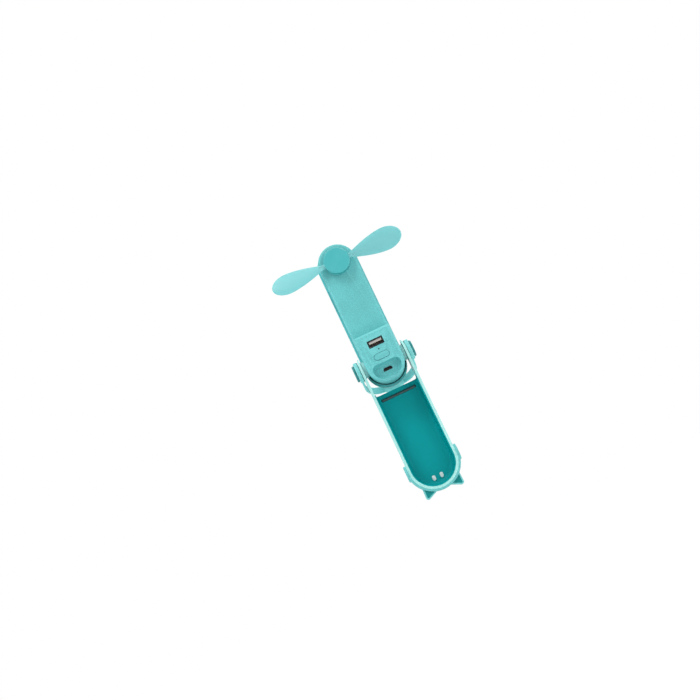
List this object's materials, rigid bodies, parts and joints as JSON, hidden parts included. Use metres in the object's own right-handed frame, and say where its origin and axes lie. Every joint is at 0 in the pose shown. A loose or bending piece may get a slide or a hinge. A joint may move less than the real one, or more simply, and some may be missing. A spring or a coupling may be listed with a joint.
{
  "type": "folding handheld electric fan",
  "caption": "Folding pocket fan: a pill-shaped fan body with two soft folding blades swings out of a cupped handle; wrist strap at the pivot, USB sockets and a button.",
  "frame": {"origin": "middle of the handle's grip, on the plane of the fold pivot, where the hand closes round it", "axes": "+Z runs along the unfolded fan towards the blades, -Y is the blade and socket side, X runs along the fold pivot"},
  "size_m": [0.12, 0.054, 0.2322],
  "materials": {
    "shell_mint": "satin moulded plastic, pale mint",
    "liner_teal": "matt moulded plastic, deep teal",
    "band_mint": "soft-touch plastic",
    "ear_teal": "matt deep teal inlay",
    "white_plastic": "white",
    "bar_teal": "dark grey-teal soft bar",
    "pin_steel": "turned",
    "cap_mint": "satin",
    "strap_silicone": "soft silicone",
    "cover_teal": "glossy paint over plastic",
    "housing_mint": "fine speckled matt texture",
    "cell_foil": "foil pouch",
    "motor_steel": "drawn can",
    "magnet": "sintered magnet",
    "bronze": "sintered bush",
    "board_green": "board with solder mask",
    "black_plastic": "black moulding",
    "port_steel": "nickel-plated sheet",
    "led_lens": "clear light pipe",
    "button_mint": "matt, fine texture",
    "core_iron": "laminated core with copper",
    "hub_teal": "satin",
    "blade_tpe": "soft translucent leaf"
  },
  "bodies": {
    "handle": {"handle_shell": "shell_mint", "handle_liner": "liner_teal", "ear_band": "band_mint", "ear_inserts": "ear_teal", "bumper_pads": "white_plastic", "stop_bar": "bar_teal", "pivot_pin_l": "pin_steel", "pivot_pin_r": "pin_steel", "pivot_cap_l": "cap_mint", "pivot_cap_r": "cap_mint"},
    "strap": {"strap_loop": "strap_silicone", "strap_bead": "strap_silicone"},
    "fan_body": {"front_cover": "cover_teal", "rear_housing": "housing_mint", "badge": "white_plastic", "battery_cell": "cell_foil", "motor_can": "motor_steel", "motor_endcap": "black_plastic", "motor_magnets": "magnet", "motor_bushings": "bronze", "circuit_board": "board_green", "charge_board": "board_green", "board_header": "black_plastic", "usb_a_shell": "port_steel", "usb_a_tongue": "black_plastic", "micro_usb_shell": "port_steel", "micro_usb_tongue": "black_plastic", "tact_switch": "black_plastic", "status_led": "led_lens", "light_pipe": "led_lens", "pivot_washer_l": "cap_mint", "pivot_washer_r": "cap_mint"},
    "power_button": {"power_button": "button_mint"},
    "rotor": {"motor_shaft": "pin_steel", "armature": "core_iron", "hub_base": "hub_teal", "hub_cap": "hub_teal", "blade_pins": "pin_steel"},
    "blade_a": {"blade_a": "blade_tpe"},
    "blade_b": {"blade_b": "blade_tpe"}
  },
  "joints": [
    {"name": "handle_fold", "type": "hinge", "parent": "handle", "child": "fan_body", "pos_m": [0, 0, 0.07], "axis": [1, 0, 0], "range_deg": [0, 180]},
    {"name": "rotor_spin", "type": "hinge", "parent": "fan_body", "child": "rotor", "pos_m": [0, 0, 0.1639], "axis": [0, 1, 0], "continuous": true},
    {"name": "blade_a_fold", "type": "hinge", "parent": "rotor", "child": "blade_a", "pos_m": [0.007, 0, 0.1639], "axis": [0, 1, 0], "range_deg": [0, 90], "deforming": ["blade_a"]},
    {"name": "blade_b_fold", "type": "hinge", "parent": "rotor", "child": "blade_b", "pos_m": [-0.007, 0, 0.1639], "axis": [0, 1, 0], "range_deg": [-90, 0], "deforming": ["blade_b"]},
    {"name": "strap_swing", "type": "hinge", "parent": "handle", "child": "strap", "pos_m": [0, 0, 0.07], "axis": [1, 0, 0], "range_deg": [-24, 76]},
    {"name": "button_press", "type": "slide", "parent": "fan_body", "child": "power_button", "axis": [0, 1, 0], "range_m": [0, 0.0005], "stiffness_N_per_m": 800}
  ],
  "couplings": [
    {"joint": "blade_a_fold", "follows": "handle_fold", "ratio": 0.5},
    {"joint": "blade_b_fold", "follows": "handle_fold", "ratio": -0.5}
  ]
}
